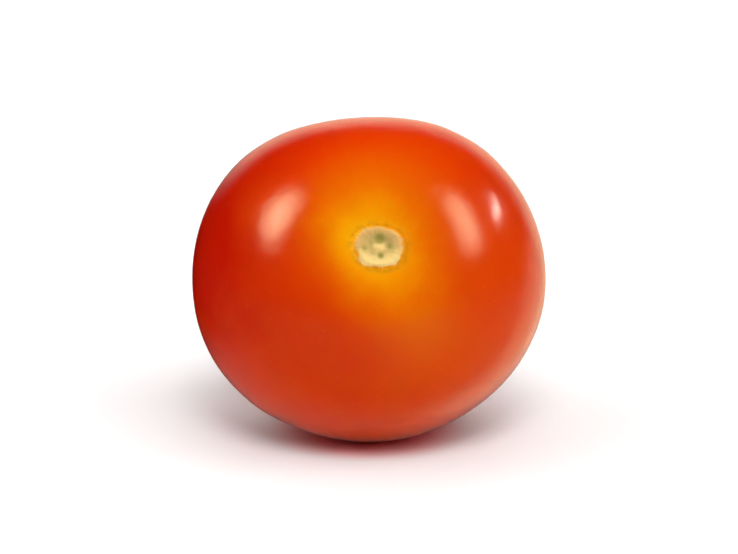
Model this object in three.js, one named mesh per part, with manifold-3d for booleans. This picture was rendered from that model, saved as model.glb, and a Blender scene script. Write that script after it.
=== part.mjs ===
// A ripe cherry tomato: one round fruit, picked clean of its stalk, lying on its side with the
// stem end turned up a little. Millimetres and degrees, +Z up, resting on the plane z = 0.
//
// The whole fruit is one surface: its radius is a formula of two angles, the polar angle down
// from the stem end and the turn round the stem axis. A globe grid carries the formula.

import * as THREE from 'three';
import { mergeVertices } from 'three/addons/utils/BufferGeometryUtils.js';
import Module from 'manifold-3d';

// ---- Driving dimensions ----

const waistRadius = 16.4;        // mean radius of the waist, measured square to the stem axis
const endFlattening = 0.035;     // share of the radius that both ends lack of a true ball
const shoulderDrop = 0.105;      // further share that the flattened stem end lacks
const shoulderSpread = 22;       // degrees from the stem axis at which that drop has faded

// The waist isn't a circle: each lobe swells it `count` times round, by `share` of its radius,
// with the first swelling `turn` degrees up from the fruit's right side.
const waistLobes = [
  { count: 2, share: 0.043, turn: 1.5 },
  { count: 3, share: 0.006, turn: 28 },
  { count: 4, share: 0.007, turn: -42 },
  { count: 5, share: 0.006, turn: -12 },
];

// The scar that the stalk leaves: a corky ring, a sunken ring inside it and a small core.
// Places and spreads are shares of the way from the scar's centre, 0, to its edge, 1.
const scarRadius = 2.1;
const scarLobes = [
  { count: 2, share: 0.085, turn: -8 },
  { count: 3, share: 0.012, turn: 30 },
  { count: 4, share: 0.015, turn: 45 },
  { count: 5, share: 0.015, turn: 20 },
];
const cork = { height: 0.20, at: 0.84, spread: 0.13 };
const groove = { depth: 0.07, at: 1.07, spread: 0.07 };    // where the skin meets the cork
const hollow = { depth: 0.32, floorTo: 0.42, wallTo: 0.7 };
const core = { height: 0.24, spread: 0.22 };               // above the hollow's floor

// The far end: a shallow dimple round the dot that the flower's style leaves.
const dimple = { depth: 0.22, spread: 2.2 };
const dot = { height: 0.14, spread: 0.5 };

// How it lies.
const stemLift = 26.5;           // the stem axis above the horizontal
const stemYaw = 4.5;             // the stem axis, turned from -Y towards +X
const footDepth = 0.35;          // how much of the underside the resting spot flattens

// The grid.
const cellsRound = 84;
const scarRings = 15;            // rings over the scar and its rim, close together
const bodyRings = 34;            // rings over the rest of the skin
const dotRings = 4;              // rings over the dot at the far end
const scarZone = 3.2;            // radius covered by the scar's rings
const dotZone = 1.4;             // radius covered by the dot's rings

// ---- The surface ----

const radians = THREE.MathUtils.degToRad;
const { PI, cos, sin, exp } = Math;

/** A smooth hump of height 1 at `at`, with `spread` as its half width. */
const hump = (x, at, spread) => exp(-(((x - at) / spread) ** 2));

/** 1 plus each lobe's share of a cosine that goes round `count` times. */
const lobed = (lobes, turn) => lobes.reduce(
  (sum, lobe) => sum + lobe.share * cos(lobe.count * (turn - radians(lobe.turn))),
  1,
);

/** Height of the scar's relief above the skin; reach is 0 at its centre and 1 at its edge. */
function scarRelief(reach) {
  const raised = cork.height * hump(reach, cork.at, cork.spread);
  const grooved = groove.depth * hump(reach, groove.at, groove.spread);
  const wall = THREE.MathUtils.smoothstep(reach, hollow.floorTo, hollow.wallTo);
  const nub = core.height * hump(reach, 0, core.spread);
  return raised - grooved - hollow.depth * (1 - wall) + nub;
}

/** Height of the far end's relief; out is the distance from the axis. */
function farRelief(out) {
  return dot.height * hump(out, 0, dot.spread) - dimple.depth * hump(out, 0, dimple.spread);
}

/** The point of the fruit at a polar angle from the stem and a turn round the stem axis, +Z. */
function fruitPoint(polar, turn) {
  const ends = 1 - endFlattening * cos(polar) ** 2;
  const shoulder = shoulderDrop * hump(polar, 0, radians(shoulderSpread));
  const waist = 1 + (lobed(waistLobes, turn) - 1) * sin(polar) ** 2;
  const bare = waistRadius * (ends - shoulder) * waist;
  const out = bare * sin(polar);
  const relief = polar < PI / 2
    ? scarRelief(out / (scarRadius * lobed(scarLobes, turn)))
    : farRelief(out);
  const radius = bare + relief;
  return new THREE.Vector3(
    radius * sin(polar) * cos(turn),
    radius * sin(polar) * sin(turn),
    radius * cos(polar),
  );
}

/** Polar angle of each ring of the grid, from the stem end down. */
function ringAngles() {
  const top = scarZone / (waistRadius * (1 - endFlattening - shoulderDrop));
  const bottom = PI - dotZone / (waistRadius * (1 - endFlattening));
  const stretch = (from, to, steps) =>
    Array.from({ length: steps }, (_, step) => from + (to - from) * step / steps);
  return [
    ...stretch(0, top, scarRings),
    ...stretch(top, bottom, bodyRings),
    ...stretch(bottom, PI, dotRings),
    PI,
  ];
}

/** The same mesh with only its places left, and the points that share a place made one. */
function merged(geometry) {
  geometry.deleteAttribute('normal');
  geometry.deleteAttribute('uv');
  return mergeVertices(geometry);
}

/** The fruit's closed skin, with its stem axis along +Z and its right side along +X. */
function fruitGeometry() {
  const angles = ringAngles();
  const rings = angles.length - 1;
  const globe = new THREE.SphereGeometry(1, cellsRound, rings);
  const { position, uv } = globe.attributes;
  for (let i = 0; i < position.count; i += 1) {
    const ring = Math.round((1 - uv.getY(i)) * rings);
    position.setXYZ(i, ...fruitPoint(angles[ring], uv.getX(i) * 2 * PI));
  }
  return merged(globe);
}

// ---- Cutting the resting spot ----

const wasm = await Module();
wasm.setup();

function solidOf(geometry) {
  return new wasm.Manifold(new wasm.Mesh({
    numProp: 3,
    vertProperties: Float32Array.from(geometry.attributes.position.array),
    triVerts: Uint32Array.from(geometry.index.array),
  }));
}

function geometryOf(solid) {
  const mesh = solid.getMesh();
  const geometry = new THREE.BufferGeometry();
  geometry.setAttribute('position', new THREE.BufferAttribute(mesh.vertProperties, 3));
  geometry.setIndex(new THREE.BufferAttribute(mesh.triVerts, 1));
  geometry.computeVertexNormals();
  return geometry;
}

/** Turns the fruit as it lies and sets its lowest point footDepth under the origin. */
function laidDown(geometry) {
  geometry.rotateX(radians(90 - stemLift));
  geometry.rotateZ(radians(stemYaw));
  const { position } = geometry.attributes;
  const point = new THREE.Vector3();
  const lowest = new THREE.Vector3(0, 0, Infinity);
  for (let i = 0; i < position.count; i += 1) {
    point.fromBufferAttribute(position, i);
    if (point.z < lowest.z) lowest.copy(point);
  }
  return geometry.translate(-lowest.x, -lowest.y, -lowest.z - footDepth);
}

/** Cuts off what lies below z = 0, which leaves the flat spot that the fruit rests on. */
function cutFlat(geometry) {
  const size = 4 * waistRadius;
  const ground = merged(new THREE.BoxGeometry(size, size, size));
  ground.translate(0, 0, -size / 2);
  return geometryOf(solidOf(geometry).subtract(solidOf(ground)));
}

// ---- The part ----

const ripeSkin = new THREE.MeshStandardMaterial({ color: 0xd23a0a, roughness: 0.25, metalness: 0 });

const fruit = new THREE.Mesh(cutFlat(laidDown(fruitGeometry())), ripeSkin);
fruit.name = 'cherry_tomato';

const tomato = new THREE.Group();
tomato.add(fruit);

export default tomato;
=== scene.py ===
# %% [markdown]
# # A ripe cherry tomato
# The lesson dresses one fruit that already exists as a plain solid. The solid gives its real size
# and how it lies; this script gives the fine surface, the finish, the light and the camera.
# The scene is in metres, +Z up, and the fruit rests on the plane z = 0.

import bpy
import numpy as np
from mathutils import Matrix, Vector


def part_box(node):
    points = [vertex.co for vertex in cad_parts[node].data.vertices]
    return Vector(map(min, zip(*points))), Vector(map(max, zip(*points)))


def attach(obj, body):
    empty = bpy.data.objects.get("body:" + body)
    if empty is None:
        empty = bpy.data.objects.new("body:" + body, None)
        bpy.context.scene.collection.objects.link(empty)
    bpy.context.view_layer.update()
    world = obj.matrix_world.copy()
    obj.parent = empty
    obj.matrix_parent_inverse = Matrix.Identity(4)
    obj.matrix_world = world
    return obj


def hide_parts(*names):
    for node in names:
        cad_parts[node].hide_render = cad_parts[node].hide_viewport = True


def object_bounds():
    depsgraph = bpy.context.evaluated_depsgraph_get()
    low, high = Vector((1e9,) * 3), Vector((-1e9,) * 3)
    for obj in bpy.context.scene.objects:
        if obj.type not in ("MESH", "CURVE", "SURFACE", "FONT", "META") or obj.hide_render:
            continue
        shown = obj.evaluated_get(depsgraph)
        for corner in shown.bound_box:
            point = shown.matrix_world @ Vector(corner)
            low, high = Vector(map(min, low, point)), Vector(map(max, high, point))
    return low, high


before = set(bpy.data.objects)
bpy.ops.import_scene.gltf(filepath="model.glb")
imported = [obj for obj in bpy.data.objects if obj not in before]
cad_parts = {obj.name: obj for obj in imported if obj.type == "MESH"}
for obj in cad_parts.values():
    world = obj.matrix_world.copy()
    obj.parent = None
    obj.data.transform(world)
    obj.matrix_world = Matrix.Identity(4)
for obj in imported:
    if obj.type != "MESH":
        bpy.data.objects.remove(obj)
cad_low, cad_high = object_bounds()
MM = 0.001
print("solid, mm:", [round((top - bottom) / MM, 2) for bottom, top in zip(cad_low, cad_high)])

# %% [markdown]
# ## The fruit as a formula
# A tomato is close to a ball, but the eye catches every way in which it isn't: the waist is a
# little oval, the stem end is flattened, and soft bulges run round it. Sculpting by hand would
# do, but a formula keeps the fine surface equal to the solid. It gives the radius for two angles:
# the polar angle down from the stem end, and the turn round the stem axis.

# %% Driving sizes, in millimetres and degrees
WAIST = 16.4
END_FLATTENING = 0.035
SHOULDER_DROP = 0.105
SHOULDER_SPREAD = 22
WAIST_LOBES = ((2, 0.043, 1.5), (3, 0.006, 28), (4, 0.007, -42), (5, 0.006, -12))
STEM_LIFT = 26.5
STEM_YAW = 4.5


def hump(x, at, spread):
    """A smooth hump of height 1 at a place: e to the minus square of the distance in spreads."""
    return np.exp(-(((x - at) / spread) ** 2))


def smooth_step(x, low, high):
    """0 below low and 1 above high, with the S curve 3t^2 - 2t^3 between."""
    t = np.clip((x - low) / (high - low), 0, 1)
    return t * t * (3 - 2 * t)


def lobed(lobes, turn):
    """1 plus, for each lobe, its share times a cosine that goes count times round."""
    swells = [share * np.cos(count * (turn - np.radians(at))) for count, share, at in lobes]
    return 1 + sum(swells)


def bare_radius(polar, turn):
    """The waist's radius, less the flattening at both ends and the drop at the stem end, times the
    lobes, which fade to nothing at the two ends with the square of the polar angle's sine."""
    ends = 1 - END_FLATTENING * np.cos(polar) ** 2
    shoulder = SHOULDER_DROP * hump(polar, 0, np.radians(SHOULDER_SPREAD))
    waist = 1 + (lobed(WAIST_LOBES, turn) - 1) * np.sin(polar) ** 2
    return WAIST * (ends - shoulder) * waist


waist_turns = np.radians(np.arange(360))
waist_radii = bare_radius(np.pi / 2, waist_turns)
print("waist, mm:", round(waist_radii.min(), 2), "to", round(waist_radii.max(), 2))

# %% [markdown]
# ## The stem scar
# Where the stalk broke away the fruit has healed with cork: a raised pale ring, cracked across,
# then a sunken ring with a few pits where the stalk's vessels ended, and a pale core. It could be
# a texture, as it is less than 5 mm wide, but that would look flat from close up. So it is relief
# in the same surface, and the numbers that shape it are kept on the mesh, for the finish to follow.

# %% The scar's relief
SCAR_RADIUS = 2.1
SCAR_LOBES = ((2, 0.085, -8), (3, 0.012, 30), (4, 0.015, 45), (5, 0.015, 20))
CORK_HEIGHT, CORK_AT, CORK_SPREAD = 0.20, 0.84, 0.13
GROOVE_DEPTH, GROOVE_AT, GROOVE_SPREAD = 0.07, 1.07, 0.07
HOLLOW_DEPTH, HOLLOW_FLOOR, HOLLOW_WALL = 0.32, 0.42, 0.7
CORE_HEIGHT, CORE_SPREAD = 0.24, 0.22
PIT_DEPTH = 0.13
PITS = (
    # across, up, spread and share of the depth
    (0.08, 0.82, 0.48, 1.0),
    (0.12, -0.80, 0.32, 0.8),
    (-1.35, -0.05, 0.27, 0.6),
    (1.00, 0.12, 0.34, 0.6),
    (-0.75, 0.50, 0.30, 0.4),
)
CRACK_COUNT, CRACK_DEPTH = 23, 0.05
CRACK_OFF_STEP = (-0.3, 0.3)        # how far a crack may stand from its even place, in steps
CRACK_WIDTHS = (0.022, 0.05)        # radians
CRACK_SHARES = (0.3, 1.0)           # of the depth

draw = np.random.default_rng(12)
crack_steps = np.arange(CRACK_COUNT) + draw.uniform(*CRACK_OFF_STEP, CRACK_COUNT)
crack_turns = crack_steps * 2 * np.pi / CRACK_COUNT
crack_widths = draw.uniform(*CRACK_WIDTHS, CRACK_COUNT)
crack_shares = draw.uniform(*CRACK_SHARES, CRACK_COUNT)


def pitted(across, up):
    """The strongest of the pits' humps at a place on the scar, in millimetres from its centre."""
    spots = [
        share * hump(np.hypot(across - pit_across, up - pit_up), 0, spread)
        for pit_across, pit_up, spread, share in PITS
    ]
    return np.max(spots, axis=0)


def cracked(turn):
    """The strongest of the cracks' narrow humps at a turn, each measured the short way round."""
    gaps = [(turn - at + np.pi) % (2 * np.pi) - np.pi for at in crack_turns]
    cracks = zip(gaps, crack_widths, crack_shares)
    return np.max([share * hump(gap, 0, width) for gap, width, share in cracks], axis=0)


def scar_relief(reach, turn, pits):
    """Cork ring, less the groove outside it and the hollow inside it, plus the core in the middle,
    less the pits in the hollow and the cracks across the cork."""
    cork = CORK_HEIGHT * hump(reach, CORK_AT, CORK_SPREAD)
    groove = GROOVE_DEPTH * hump(reach, GROOVE_AT, GROOVE_SPREAD)
    hollow = HOLLOW_DEPTH * (1 - smooth_step(reach, HOLLOW_FLOOR, HOLLOW_WALL))
    core = CORE_HEIGHT * hump(reach, 0, CORE_SPREAD)
    cracks = CRACK_DEPTH * cracked(turn) * hump(reach, CORK_AT, 2 * CORK_SPREAD)
    return cork - groove - hollow + core - PIT_DEPTH * pits - cracks


scar_profile = scar_relief(np.linspace(0, 1.2, 60), 0, 0)
print("scar's relief, mm:", round(scar_profile.min(), 2), "to", round(scar_profile.max(), 2))

# %% [markdown]
# ## The far end
# The flower sat there, and its style leaves a dry dot in a shallow dimple. The photograph hides
# it, but a fruit is looked at from all sides. A dot and a dimple could be pressed in afterwards;
# as two humps in the same formula they need no faces of their own.

# %% The far end's relief
DIMPLE_DEPTH, DIMPLE_SPREAD = 0.22, 2.2
DOT_HEIGHT, DOT_SPREAD = 0.14, 0.5


def far_relief(out):
    """A small dot standing in a wide shallow dimple, both round the stem axis."""
    return DOT_HEIGHT * hump(out, 0, DOT_SPREAD) - DIMPLE_DEPTH * hump(out, 0, DIMPLE_SPREAD)


print("far end's relief at 0, 1 and 3 mm:", far_relief(np.array([0, 1, 3])).round(3))

# %% [markdown]
# ## The grid
# Rings of points go round the stem axis, and the steps between them are short over the scar and
# longer over the plain skin. Even steps would spend most of the faces where nothing happens.

# %% Rings and turns
AROUND = 400
SCAR_RINGS, RIM_RINGS, BODY_RINGS, DOT_RINGS = 62, 20, 126, 14
SCAR_ZONE, RIM_ZONE, DOT_ZONE = 2.8, 4.6, 1.6

pole_radius = WAIST * (1 - END_FLATTENING - SHOULDER_DROP)
far_radius = WAIST * (1 - END_FLATTENING)
polar_steps = np.concatenate([
    np.linspace(0, SCAR_ZONE / pole_radius, SCAR_RINGS, endpoint=False)[1:],
    np.linspace(SCAR_ZONE, RIM_ZONE, RIM_RINGS, endpoint=False) / pole_radius,
    np.linspace(RIM_ZONE / pole_radius, np.pi - DOT_ZONE / far_radius, BODY_RINGS, endpoint=False),
    np.linspace(np.pi - DOT_ZONE / far_radius, np.pi, DOT_RINGS, endpoint=False),
])
turn_steps = np.linspace(0, 2 * np.pi, AROUND, endpoint=False)
polar, turn = np.meshgrid(polar_steps, turn_steps, indexing="ij")
print("rings:", len(polar_steps), "points round each:", AROUND)

# %% [markdown]
# ## From formula to points
# The relief is added to the radius. A Displace modifier could do that afterwards, but here the
# numbers behind the relief are at hand, to be kept for the finish. Very low waves with lengths of
# a few millimetres go on top of it all: a real skin is never as true as a formula, and they break
# up the reflections.

# %% The surface in the fruit's own frame, stem axis up
FAR_REACH = 99                      # stands for "not near the scar" on the far half
WAVE_HEIGHT = 0.022
WAVES_FROM, WAVES_TO = 2, 5         # the distances from the stem axis between which they rise
WAVES = (
    # direction, with radians to the millimetre as its length, and start
    ((0.9, 0.5, 0.3), 0.4),
    ((-0.6, 1.0, 0.4), 1.9),
    ((0.3, -0.8, 1.1), 3.1),
    ((1.4, 0.2, -0.7), 5.0),
)


def low_waves(points):
    """The mean of a few sines, each along its own direction, times the height of a wave."""
    total = sum(np.sin(points @ np.array(along) + start) for along, start in WAVES)
    return WAVE_HEIGHT * total / len(WAVES)


def fruit_surface(polar, turn):
    """Points at the bare radius plus relief along each direction, and at each point how far it is
    from the scar's centre as a share of the way to its edge, and how much of a pit it is in."""
    on_ring = np.stack([np.cos(turn), np.sin(turn), np.zeros_like(turn)], axis=-1)
    direction = np.sin(polar)[..., None] * on_ring + np.cos(polar)[..., None] * np.array([0, 0, 1])
    bare = bare_radius(polar, turn)
    across, up = bare * direction[..., 0], bare * direction[..., 1]
    out = np.hypot(across, up)
    reach = out / (SCAR_RADIUS * lobed(SCAR_LOBES, turn))
    pits = pitted(across, up)
    stem_half = polar < np.pi / 2
    relief = np.where(stem_half, scar_relief(reach, turn, pits), far_relief(out))
    waves = low_waves(bare[..., None] * direction) * smooth_step(out, WAVES_FROM, WAVES_TO)
    points = (bare + relief + waves)[..., None] * direction
    return points, np.where(stem_half, reach, FAR_REACH), np.where(stem_half, pits, 0)


rings = fruit_surface(polar, turn)
poles = fruit_surface(np.array([0.0, np.pi]), np.array([0.0, 0.0]))
fruit_points = np.concatenate([poles[0][:1], rings[0].reshape(-1, 3), poles[0][1:]])
reach, pits = (
    np.concatenate([poles[part][:1], rings[part].ravel(), poles[part][1:]]) for part in (1, 2)
)
print("points:", len(fruit_points), "widest, mm:", np.ptp(fruit_points, axis=0).round(2))

# %% [markdown]
# ## Laying it down
# The fruit lies on its side with the stem end turned up. The object could be turned, but a piece
# that keeps its place in its mesh is easier to hand on, so the points are turned twice and moved
# into the solid's box. The skin gives a little where it rests: whatever would reach below the
# ground is pressed flat, with a rounded edge.

# %% Turn, place and press flat
FOOT_EDGE = 0.08


def turned(points, lift, yaw):
    """Points turned about X so that the stem axis leans to -Y, lifted, and then about Z."""
    lean, swing = np.radians(90 - lift), np.radians(yaw)
    x, y, z = points.T
    y, z = y * np.cos(lean) - z * np.sin(lean), y * np.sin(lean) + z * np.cos(lean)
    x, y = x * np.cos(swing) - y * np.sin(swing), x * np.sin(swing) + y * np.cos(swing)
    return np.stack([x, y, z], axis=-1)


def pressed_flat(height, edge):
    """0 below the ground and the height above it, joined over the edge by a parabola."""
    return np.where(height < edge, (np.clip(height, -edge, edge) + edge) ** 2 / (4 * edge), height)


node_low, node_high = (np.array(corner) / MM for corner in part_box("cherry_tomato"))
lying = turned(fruit_points, STEM_LIFT, STEM_YAW)
shift = (node_low + node_high) / 2 - (lying.min(0) + lying.max(0)) / 2
shift[2] = node_high[2] - lying[:, 2].max()
lying = lying + shift
lying[:, 2] = pressed_flat(lying[:, 2], FOOT_EDGE)
print("lowest and highest, mm:", lying.min(0).round(2), lying.max(0).round(2))

# %% [markdown]
# ## The mesh
# Neighbouring rings make quads, and the two poles close with a fan of triangles. A ready-made ball
# has the same layout but even rings, so the faces are listed here. The reach, the pits and the
# point's place in the fruit's own frame are stored on the mesh, because the finish follows the
# fruit and not the table that it lies on.

# %% Faces and stored numbers
def globe_faces(rings, around):
    """Quads between neighbouring rings and a fan at each pole, all facing outwards."""
    here = np.arange(around)
    after = (here + 1) % around
    first = 1 + np.arange(rings - 1)[:, None] * around
    below = first + around
    quads = np.stack([first + here, below + here, below + after, first + after], axis=-1)
    last = 1 + (rings - 1) * around
    top = np.stack([np.zeros_like(here), 1 + here, 1 + after], axis=-1)
    bottom = np.stack([np.full_like(here, last + around), last + after, last + here], axis=-1)
    return quads.reshape(-1, 4).tolist() + top.tolist() + bottom.tolist()


def store(mesh, name, kind, values):
    """Keeps one number or vector for each point under a name that a material can read."""
    field = {"FLOAT": "value", "FLOAT_VECTOR": "vector"}[kind]
    attribute = mesh.attributes.new(name, kind, "POINT")
    attribute.data.foreach_set(field, np.asarray(values, np.float32).ravel())


mesh = bpy.data.meshes.new("ripe_fruit")
mesh.from_pydata((lying * MM).tolist(), [], globe_faces(len(polar_steps), AROUND))
mesh.shade_smooth()
store(mesh, "reach", "FLOAT", reach)
store(mesh, "pits", "FLOAT", pits)
store(mesh, "in_fruit", "FLOAT_VECTOR", fruit_points / WAIST)
fruit = bpy.data.objects.new("ripe_fruit", mesh)
bpy.context.scene.collection.objects.link(fruit)
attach(fruit, "root")
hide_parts("cherry_tomato")
mesh.calc_loop_triangles()
print("triangles:", len(mesh.loop_triangles))

# %% [markdown]
# ## Writing materials as sums
# A material is a tree of nodes. It could be drawn by hand in the shader editor, but as text a list
# of links is hard to read. This class wraps one socket, so that a mask can be written as
# arithmetic, and each sum adds its Math node behind the scenes.

# %% One value in a material
class Value:
    """A number, colour, vector or shader at one socket of a node tree."""

    def __init__(self, tree, socket=None):
        self.tree, self.socket = tree, socket

    def node(self, kind, settings=None, sockets=None, output=0):
        """Adds a node: first its settings, then a value or a link for each named socket."""
        made = self.tree.nodes.new(kind)
        for name, setting in (settings or {}).items():
            if name == "stops":
                self.set_stops(made.color_ramp.elements, setting)
            else:
                setattr(made, name, setting)
        for name, value in (sockets or {}).items():
            if isinstance(value, Value):
                self.tree.links.new(value.socket, made.inputs[name])
            else:
                made.inputs[name].default_value = value
        return Value(self.tree, made.outputs[output] if made.outputs else None)

    @staticmethod
    def set_stops(elements, stops):
        """Gives a ramp its places and colours."""
        while len(elements) < len(stops):
            elements.new(1)
        for element, (at, colour) in zip(elements, stops):
            element.position, element.color = at, colour

    def math(self, operation, *values):
        """The result of one Math node."""
        return self.node("ShaderNodeMath", {"operation": operation}, dict(enumerate(values)))

    def __add__(self, other):
        return self.math("ADD", self, other)

    __radd__ = __add__

    def __sub__(self, other):
        return self.math("SUBTRACT", self, other)

    def __rsub__(self, other):
        return self.math("SUBTRACT", other, self)

    def __mul__(self, other):
        return self.math("MULTIPLY", self, other)

    __rmul__ = __mul__

    def smooth(self, low, high):
        """0 at low and 1 at high, with an S curve between. Low may be the larger one."""
        steps = {"Value": self, "From Min": low, "From Max": high}
        return self.node("ShaderNodeMapRange", {"interpolation_type": "SMOOTHSTEP"}, steps)

    def hump(self, spread):
        """1 where this is 0, falling off as e to the minus square of it in spreads."""
        return self.math("EXPONENT", self * self * (-1 / spread ** 2))

    def along(self, direction):
        """How far this place lies along a direction, times the direction's length."""
        return self.vector("DOT_PRODUCT", direction, "Value")

    def far_from(self, place):
        """The distance of this place from another."""
        return self.vector("DISTANCE", place, "Value")

    def vector(self, operation, other=(0, 0, 0), output="Vector"):
        """This vector and another through one Vector Math node."""
        sockets = {0: self, 1: other}
        return self.node("ShaderNodeVectorMath", {"operation": operation}, sockets, output)

    def spots(self, scale, detail=2.0):
        """Soft noise around 0.5 at this many features to the unit, read at this place."""
        sockets = {"Vector": self, "Scale": scale, "Detail": detail}
        return self.node("ShaderNodeTexNoise", {}, sockets)

    def bump(self, strength, depth):
        """The normal of a surface with this height drawn on it, up to a depth in metres."""
        sockets = {"Strength": strength, "Distance": depth, "Height": self}
        return self.node("ShaderNodeBump", {}, sockets, "Normal")

    def or_more(self, other):
        """The greater of this number and another."""
        return self.math("MAXIMUM", self, other)

    def between(self, first, second):
        """The first colour where this mask is 0, the second where it is 1, and a mix between."""
        settings = {"data_type": "RGBA", "clamp_factor": True}
        return self.node("ShaderNodeMix", settings, {0: self, 6: first, 7: second}, 2)


def new_material(name):
    """An empty material, and the value that its nodes start from."""
    material = bpy.data.materials.new(name)
    material.use_nodes = True
    material.node_tree.nodes.clear()
    return material, Value(material.node_tree)


def linear(red, green, blue):
    """A colour as a screen shows it, 0 to 255, turned into the light that it stands for."""
    share = np.array([red, green, blue]) / 255
    light = np.where(share <= 0.04045, share / 12.92, ((share + 0.055) / 1.055) ** 2.4)
    return (*light.tolist(), 1)


print("middle grey, 128, as light:", round(linear(128, 128, 128)[0], 3))

# %% [markdown]
# ## How far the skin is from ripe
# A tomato ripens from its far end and last of all round the stem. So one number carries the
# colour: `unripe`, low on the deep red flanks and high beside the scar. Painting it by hand
# would do for one view, but sums of soft patches cover the fruit on all sides. Places are in
# shares of the fruit's radius: x to the right and y up as the stem end faces you, z along the
# stem. Each patch adds its share in its middle, and fades as a hump does.

# %% The place on the fruit, and the pale patches
RIPE_LEVEL = 0.053
LEVEL_SLOPE = (0.020, -0.025, 0.0)
PALE_PATCHES = (
    (0.26, (-0.10, 0.04, 0.86), 0.23),      # beside the scar
    (0.13, (0.00, 0.25, 0.87), 0.37),       # over the shoulder
    (0.15, (0.09, -0.15, 0.87), 0.24),      # under the scar
    (0.055, (0.25, -0.48, 0.79), 0.23),     # further down, to the right
    (0.035, (-0.66, 0.27, 0.70), 0.20),     # to the left, over the flank
    (-0.03, (-0.90, 0.05, 0.36), 0.40),     # the left flank, deeper red: partly ripeness, partly painted shade
)
skin, start = new_material("ripe_skin")
place = start.node("ShaderNodeAttribute", {"attribute_name": "in_fruit"}, output="Vector")
reached = start.node("ShaderNodeAttribute", {"attribute_name": "reach"}, output="Fac")
in_pit = start.node("ShaderNodeAttribute", {"attribute_name": "pits"}, output="Fac")
print("pale patches:", len(PALE_PATCHES))

# %% [markdown]
# Noise breaks up the patches. Broad drifts and blotches give them the wandering edges of a ripe
# fruit, and a few small flecks stay paler. Streaks run from the stem end over the shoulder, as the
# vessels in the flesh do: that noise is read at the direction round the stem, and hardly changes
# along it. Two finer noises, mottle and grain, are for the scar and its border.

# %% Drifts, streaks and the sum
DRIFT_SCALE, BLOTCH_SCALE, FLECK_SCALE = 1.6, 4.5, 60.0
MOTTLE_SCALE, GRAIN_SCALE = 30.0, 70.0
STREAKS_ROUND, STREAKS_ALONG = 9.0, 2.2
RAGGED_BY_DRIFT, RAGGED_BY_BLOTCH, RAGGED_BY_STREAK = 0.14, 0.16, 0.025
LEVEL_BY_DRIFT, LEVEL_BY_BLOTCH = 0.04, 0.03
FLECK_SHARE, FLECK_EDGE = 0.03, (0.66, 0.74)
drift = place.spots(DRIFT_SCALE, 3.0) - 0.5
blotch = place.spots(BLOTCH_SCALE, 4.0) - 0.5
fleck = place.spots(FLECK_SCALE, 2.0)
mottle = place.spots(MOTTLE_SCALE, 2.0) - 0.5
grain = place.spots(GRAIN_SCALE, 3.0) - 0.5
round_stem = place.vector("MULTIPLY", (1, 1, 0)).vector("NORMALIZE")
along_stem = place.vector("MULTIPLY", (0, 0, STREAKS_ALONG / STREAKS_ROUND))
streak = round_stem.vector("ADD", along_stem).spots(STREAKS_ROUND, 3.0) - 0.5
ragged = RAGGED_BY_DRIFT * drift + RAGGED_BY_BLOTCH * blotch + RAGGED_BY_STREAK * streak
unripe = RIPE_LEVEL + place.along(LEVEL_SLOPE) + LEVEL_BY_DRIFT * drift + LEVEL_BY_BLOTCH * blotch
for share, middle_at, spread in PALE_PATCHES:
    unripe = unripe + share * (place.far_from(middle_at) + ragged).hump(spread)
unripe = unripe + FLECK_SHARE * fleck.smooth(*FLECK_EDGE)
print("nodes behind the one number:", len(skin.node_tree.nodes))

# %% [markdown]
# ## Ripe skin
# The skin is a clear waxy film over coloured flesh. So its colour will sit under a coat, and light
# will spread a little under the surface. Two colours and a mix would turn the one number into a
# colour, but a ripening fruit goes from yellow over orange to red, so a ramp with six stops does
# it. In the groove round the scar a broken, darker olive tint is painted shade in the recess, more
# of it on the lower side.

# %% The skin's colours
RIPENING = (
    (0.015, linear(191, 21, 1)),
    (0.06, linear(209, 55, 1)),
    (0.13, linear(216, 85, 1)),
    (0.22, linear(225, 113, 1)),
    (0.36, linear(234, 149, 2)),
    (0.50, linear(239, 175, 4)),
)
# Painted shade: a darker olive tint in the groove round the scar, more of it below.
GROOVE_SHADE_PAINT = linear(196, 128, 2)
SHADED_AT, SHADED_SPREAD = 1.15, 0.15
SHADED_ALL_ROUND, SHADED_BELOW, SHADED_BROKEN = 0.15, 0.45, 2.0
LOWER_SIDE, LOWER_EDGE = (0.2, -1.0, 0), (-0.10, 0.12)
skin_colour = start.node("ShaderNodeValToRGB", {"stops": RIPENING}, {"Fac": unripe})
on_lower_side = place.along(LOWER_SIDE).smooth(*LOWER_EDGE)
shade = SHADED_ALL_ROUND + SHADED_BELOW * on_lower_side + SHADED_BROKEN * mottle
painted_groove_shade = (reached - SHADED_AT).hump(SHADED_SPREAD) * shade
colour = painted_groove_shade.between(skin_colour, GROOVE_SHADE_PAINT)
print("ripest red, as light:", [round(part, 3) for part in RIPENING[0][1][:3]])

# %% [markdown]
# ## Cork
# The scar is dry and matt where the skin is wet and bright. It shares the fruit's surface, so a
# mask cut from the reach tells the two finishes apart, and a Mix Shader joins them. Noise makes
# the mask's border ragged, as cork flakes off where the skin begins. The reach also places the
# colours: rings of cream and sand on the lower side, of tan and olive above, and darker pits. The
# upper rings are darker partly as the cork's own olive and partly as painted shade on the upper
# side.

# %% The scar's colours
CREAM = linear(236, 204, 130)
SAND = linear(224, 194, 124)
OLIVE = linear(203, 173, 104)
TAN = linear(218, 172, 102)
DARK_OLIVE = linear(166, 154, 76)
LOWER_RINGS = (
    (0.0, CREAM), (0.16, CREAM), (0.34, SAND), (0.55, SAND), (0.75, CREAM), (1.0, CREAM),
)
SHADED_UPPER_RINGS = (
    (0.0, CREAM), (0.16, CREAM), (0.32, OLIVE), (0.60, OLIVE), (0.82, TAN), (1.0, TAN),
)
GRAIN_SHARE, MOTTLE_SHARE, RAGGED_SHARE = 0.12, 0.15, 0.42
UPPER_MOTTLE, UPPER_EDGE = 0.06, (-0.055, 0.0)
PIT_MOTTLE, PIT_EDGE = 0.5, (0.05, 0.75)
FLAKE_SCALE, CORK_EDGE = 17.0, (1.06, 0.93)

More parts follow.
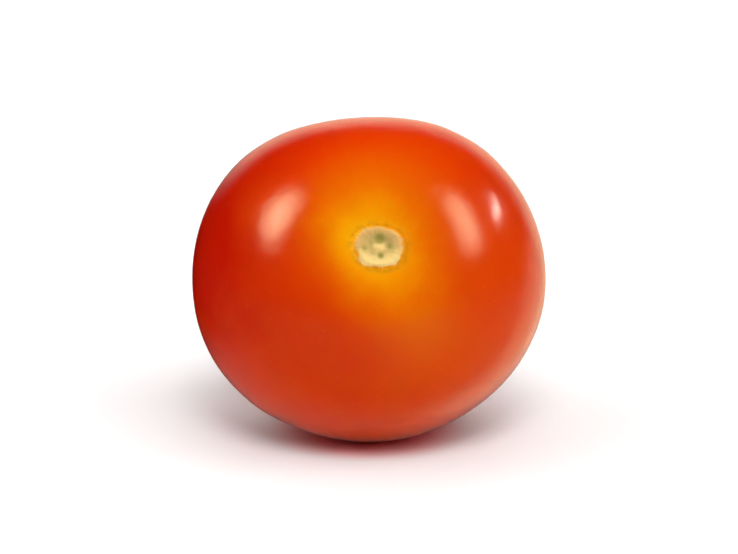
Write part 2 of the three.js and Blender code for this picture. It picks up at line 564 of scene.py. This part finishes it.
grainy = reached + GRAIN_SHARE * grain
wander = grainy + MOTTLE_SHARE * mottle
lower_colour = start.node("ShaderNodeValToRGB", {"stops": LOWER_RINGS}, {"Fac": wander})
upper_colour = start.node("ShaderNodeValToRGB", {"stops": SHADED_UPPER_RINGS}, {"Fac": wander})
# Painted shade: the scar's upper side takes the darker rings, over the cork's own olive.
shaded_upper_side = (place.along((0, 1, 0)) + UPPER_MOTTLE * mottle).smooth(*UPPER_EDGE)
rings_colour = shaded_upper_side.between(lower_colour, upper_colour)
is_pit = (in_pit + PIT_MOTTLE * mottle * in_pit).smooth(*PIT_EDGE)
cork_colour = is_pit.between(rings_colour, DARK_OLIVE)
flakes = place.spots(FLAKE_SCALE, 1.0) - 0.5
is_scar = (grainy + RAGGED_SHARE * flakes).smooth(*CORK_EDGE)
print("cork ends between", CORK_EDGE[1], "and", CORK_EDGE[0], "of the way to the scar's edge")

# %% [markdown]
# The dot at the far end is dry too, and brown. It could have a material of its own, but then its
# border would follow the faces. So it is found by its distance from the end of the stem axis.

# %% The far end's mark
BROWN = linear(132, 84, 42)
FAR_END = (0.0, 0.0, -0.965)
MARK_GRAIN, MARK_EDGE = 0.045, (0.050, 0.028)
far_mark = (place.far_from(FAR_END) + MARK_GRAIN * grain).smooth(*MARK_EDGE)
dry_colour = far_mark.between(cork_colour, BROWN)
is_dry = is_scar.or_more(far_mark)
print("mark's radius, mm:", [round(edge * WAIST, 2) for edge in MARK_EDGE])

# %% [markdown]
# The skin is duller right round the scar, where it is stretched and dusty with cork. A rougher
# gloss there would do, but the dry finish can also reach a little over the skin, in the skin's own
# colour, and that keeps hard glints out of the groove as well. Each finish has a faint bump: soft
# swells under the wet one, fine grain on the dry one.

# %% The two finishes joined
DULL_SHARE, DULL_EDGE = 0.85, (1.55, 1.05)
SWELL_SCALE, SWELL_STRENGTH, SWELL_DEPTH = 12.0, 0.05, 0.6 * MM
CORKY_SCALE, CORKY_STRENGTH, CORKY_DEPTH = 110.0, 0.5, 0.1 * MM
is_dull = DULL_SHARE * reached.smooth(*DULL_EDGE)
wet = start.node("ShaderNodeBsdfPrincipled", {}, {
    "Base Color": colour,
    "Roughness": 0.20,
    "IOR": 1.45,
    "Specular IOR Level": 0.35,
    "Normal": place.spots(SWELL_SCALE, 1.0).bump(SWELL_STRENGTH, SWELL_DEPTH),
    "Subsurface Weight": 0.35,
    "Subsurface Radius": (1.0, 0.22, 0.05),
    "Subsurface Scale": 2.5 * MM,
    "Coat Weight": 0.15,
    "Coat Roughness": 0.12,
    "Coat IOR": 1.45,
})
dry = start.node("ShaderNodeBsdfPrincipled", {}, {
    "Base Color": is_dry.between(colour, dry_colour),
    "Roughness": 0.85,
    "Specular IOR Level": 0.2,
    "Normal": place.spots(CORKY_SCALE, 4.0).bump(CORKY_STRENGTH, CORKY_DEPTH),
    "Subsurface Weight": 0.15,
    "Subsurface Radius": (1.0, 0.8, 0.4),
    "Subsurface Scale": 0.5 * MM,
})
joined = start.node("ShaderNodeMixShader", {}, {0: is_dry.or_more(is_dull), 1: wet, 2: dry})
start.node("ShaderNodeOutputMaterial", {}, {"Surface": joined})
mesh.materials.append(skin)
print("nodes in the whole finish:", len(skin.node_tree.nodes))

# %% [markdown]
# ## The floor
# A matt disc of paper takes the shadow. It is a little grey, and the lamps light it up to white.
# Further out it fades into the white surround, so that no horizon shows. Light that has passed
# through the flesh reddens the paper right round the place where the fruit rests. The render
# doesn't follow that light, so a red tint is painted there, which stands for that light and also
# darkens the shadow next to the fruit. The skin doesn't mirror the disc, as the surround below has
# a floor of its own for that.

# %% The floor
PAPER_WHITE, PAINTED_RED_SHADOW = (0.66, 0.66, 0.66, 1), (0.98, 0.22, 0.22, 1)
RED_FROM, RED_TO = 0.0035, 0.0105
FLOOR_RADIUS, FLOOR_CORNERS = 0.6, 96
FADE_FROM, FADE_TO = 0.10, 0.45
floor_turns = np.linspace(0, 2 * np.pi, FLOOR_CORNERS, endpoint=False)
circle = np.stack([np.cos(floor_turns), np.sin(floor_turns), 0 * floor_turns], axis=-1)
floor_mesh = bpy.data.meshes.new("floor")
floor_mesh.from_pydata((FLOOR_RADIUS * circle).tolist(), [], [list(range(FLOOR_CORNERS))])
floor = bpy.data.objects.new("floor", floor_mesh)
bpy.context.scene.collection.objects.link(floor)
floor.visible_glossy = False
paper, start = new_material("white_paper")
from_fruit = start.node("ShaderNodeTexCoord", output="Object").far_from((0, 0, 0))
# Painted red light and painted shadow: the tint close to where the fruit rests.
paper_colour = from_fruit.smooth(RED_FROM, RED_TO).between(PAINTED_RED_SHADOW, PAPER_WHITE)
matt = start.node("ShaderNodeBsdfDiffuse", {}, {"Color": paper_colour})
clear = start.node("ShaderNodeBsdfTransparent")
fading = from_fruit.smooth(FADE_FROM, FADE_TO)
faded = start.node("ShaderNodeMixShader", {}, {0: fading, 1: matt, 2: clear})
start.node("ShaderNodeOutputMaterial", {}, {"Surface": faded})
floor_mesh.materials.append(paper)
print("floor fades out from", FADE_FROM, "to", FADE_TO, "m")

# %% [markdown]
# ## The surround
# The camera sees plain white all round. The wet skin must not mirror that white everywhere, or it
# would look like chalk. A picture of a studio could be wrapped round the scene, but sums of a few
# soft parts are enough, and are easy to move. So for all other rays the surround is dark, apart
# from three such parts. The pale floor shows as a dim band low on the fruit, which almost stops
# under it, as there the skin mirrors its own shadow. The bright sweep straight behind shows as a
# thin rim, because only the skin near the outline mirrors it. A dimmer part to its right makes
# that rim wider there.

# %% The surround
world = bpy.data.worlds.new("white_sweep")
world.use_nodes = True
world.node_tree.nodes.clear()
bpy.context.scene.world = world
start = Value(world.node_tree)
direction = start.node("ShaderNodeTexCoord", output="Generated")
seen = start.node("ShaderNodeLightPath", output="Is Camera Ray")
WHITE, FLOOR_TINT, WALL_TINT = (1, 1, 1, 1), (1, 0.98, 0.92, 1), (1, 0.83, 0.58, 1)
FLOOR_GLEAM, REAR_GLEAM, RIGHT_GLEAM = 0.25, 0.95, 0.80
SHADOW_WIDTH, SHADOW_BEHIND, SHADOW_SHARE = 0.18, (0.35, 0.60), 0.8
FLOOR_SLOPE, FLOOR_EDGE, FLOOR_BEHIND = (-0.2, 0, 1), (-0.25, -0.50), (-0.3, 0.3)
STRAIGHT_BEHIND, REAR_EDGE = (0, 0.966, -0.259), (0.64, 0.88)
REAR_SLOPE, REAR_LOWEST = (0.8, 0, 1), (-0.40, -0.02)
RIGHT_EDGE, RIGHT_FROM, RIGHT_HIGHEST = (0.38, 0.62), (0.20, 0.45), (0.10, -0.10)
to_right, behind, height = (
    direction.along(axis) for axis in ((1, 0, 0), (0, 1, 0), (0, 0, 1))
)
own_shadow = to_right.hump(SHADOW_WIDTH) * behind.smooth(*SHADOW_BEHIND)
floor_part = direction.along(FLOOR_SLOPE).smooth(*FLOOR_EDGE) * behind.smooth(*FLOOR_BEHIND)
floor_part = floor_part * (1.0 - SHADOW_SHARE * own_shadow)
rear = direction.along(STRAIGHT_BEHIND)
rear_part = rear.smooth(*REAR_EDGE) * direction.along(REAR_SLOPE).smooth(*REAR_LOWEST)
right_part = rear.smooth(*RIGHT_EDGE) * to_right.smooth(*RIGHT_FROM)
right_part = right_part * height.smooth(*RIGHT_HIGHEST)
wall_gleam = (REAR_GLEAM * rear_part).or_more(RIGHT_GLEAM * right_part)
gleam = FLOOR_GLEAM * floor_part + wall_gleam
mirrored_tint = rear_part.or_more(right_part).between(FLOOR_TINT, WALL_TINT)
tint = seen.between(mirrored_tint, WHITE)
strength = gleam + seen * (1.0 - gleam)
sky = start.node("ShaderNodeBackground", {}, {"Color": tint, "Strength": strength})
start.node("ShaderNodeOutputWorld", {}, {"Surface": sky})
print("brightest mirrored part of the surround:", max(FLOOR_GLEAM, REAR_GLEAM, RIGHT_GLEAM))

# %% [markdown]
# ## The lamps
# Two kinds of lamp share the work. Softboxes show only as highlights on the wet skin, and are
# brightest in their middle, as a lamp behind a cloth is. Fills stand for wide bright parts of the
# room: they only shade the fruit, and light the paper. One lamp could do both, but kept apart like
# this, a highlight's place and strength can be set without changing the shading, and the other way
# round. Two of the fills light one thing only: one the fruit's rim, and one the paper in front.

# %% The lamps
middle = np.array((cad_low + cad_high) / 2)
CLOTH_EDGE = (0.5, 0.05)            # from the rim of the cloth to its bright middle


def aimed(name, lamp, towards, distance):
    """Puts a lamp in a direction from the fruit's middle, facing it, out of the camera's sight."""
    holder = bpy.data.objects.new(name, lamp)
    away = Vector(towards).normalized()
    holder.location = Vector(middle) + away * distance
    holder.rotation_mode = "QUATERNION"
    holder.rotation_quaternion = away.to_track_quat("Z", "Y")
    holder.visible_camera = False
    bpy.context.scene.collection.objects.link(holder)
    return holder


def softbox(name, towards, distance, width, height, power, tint):
    """A lamp behind a cloth, brightest in its middle, which shows only as a highlight."""
    lamp = bpy.data.lights.new(name, "AREA")
    lamp.shape, lamp.size, lamp.size_y, lamp.energy = "RECTANGLE", width, height, power
    lamp.color = tint
    lamp.use_nodes = True
    lamp.node_tree.nodes.clear()
    start = Value(lamp.node_tree)
    off_middle = start.node("ShaderNodeNewGeometry", output="Parametric").far_from((0.5, 0.5, 0))
    glow = start.node("ShaderNodeEmission", {}, {"Strength": off_middle.smooth(*CLOTH_EDGE)})
    start.node("ShaderNodeOutputLight", {}, {"Surface": glow})
    aimed(name, lamp, towards, distance).visible_diffuse = False


def fill(name, towards, spread, strength, only=None):
    """Light from a part of the sky some degrees wide, which shows in no highlight. It lights one
    object alone where that object is given."""
    lamp = bpy.data.lights.new(name, "SUN")
    lamp.angle, lamp.energy = np.radians(spread), strength
    lamp.cycles.use_multiple_importance_sampling = False
    holder = aimed(name, lamp, towards, 1.0)
    holder.visible_glossy = False
    if only:
        lit = bpy.data.collections.new(name + "_lights")
        lit.objects.link(only)
        holder.light_linking.receiver_collection = lit


WARM, PALE = (1.0, 0.92, 0.57), (1.0, 0.95, 0.80)
# name, direction, distance, width and height in metres, power and tint
softbox("left_softbox", (-0.702, -0.251, 0.666), 0.42, 0.30, 0.34, 5.0, WARM)
softbox("right_softbox", (0.734, -0.289, 0.615), 0.42, 0.32, 0.34, 3.9, WARM)
softbox("small_lamp", (0.835, 0.353, 0.421), 0.50, 0.22, 0.05, 1.05, PALE)
# name, direction, degrees wide and strength
fill("ceiling", (0, 0, 1), 110, 0.54)
fill("left_fill", (-0.757, -0.175, 0.629), 60, 1.50)
fill("right_fill", (0.542, -0.455, 0.707), 60, 2.40)
fill("back_fill", (0, 0.423, 0.906), 60, 0.95)
fill("rim_fill", (0, 0.95, 0.30), 30, 1.9, only=fruit)
fill("front_fill", (0, -0.64, 0.77), 24, 1.9, only=floor)
print("lamps:", [lamp.name for lamp in bpy.data.lights])

# %% [markdown]
# ## The camera
# It looks from 15 degrees above the table. A wide lens close by would stretch the round form, so
# it is a long lens from further off. The distance follows from the share of the picture's height
# that the fruit takes.

# %% The camera
ELEVATION = 15
FRAME_SHARE = 0.58
FRAME_WIDE, FRAME_HIGH = 738, 554
camera = bpy.data.objects.new("camera", bpy.data.cameras.new("camera"))
camera.data.lens, camera.data.sensor_width = 150, 36
frame_height = (cad_high.z - cad_low.z) / FRAME_SHARE
distance = frame_height * FRAME_WIDE / FRAME_HIGH * camera.data.lens / camera.data.sensor_width
back = Vector((0, -np.cos(np.radians(ELEVATION)), np.sin(np.radians(ELEVATION))))
camera.location = Vector(middle) + back * distance
camera.rotation_mode = "QUATERNION"
camera.rotation_quaternion = back.to_track_quat("Z", "Y")
camera.data.clip_start, camera.data.clip_end = 0.01, 20
bpy.context.scene.collection.objects.link(camera)
bpy.context.scene.camera = camera
bpy.context.scene.view_settings.view_transform = "Standard"
print("camera distance, m:", round(distance, 3))
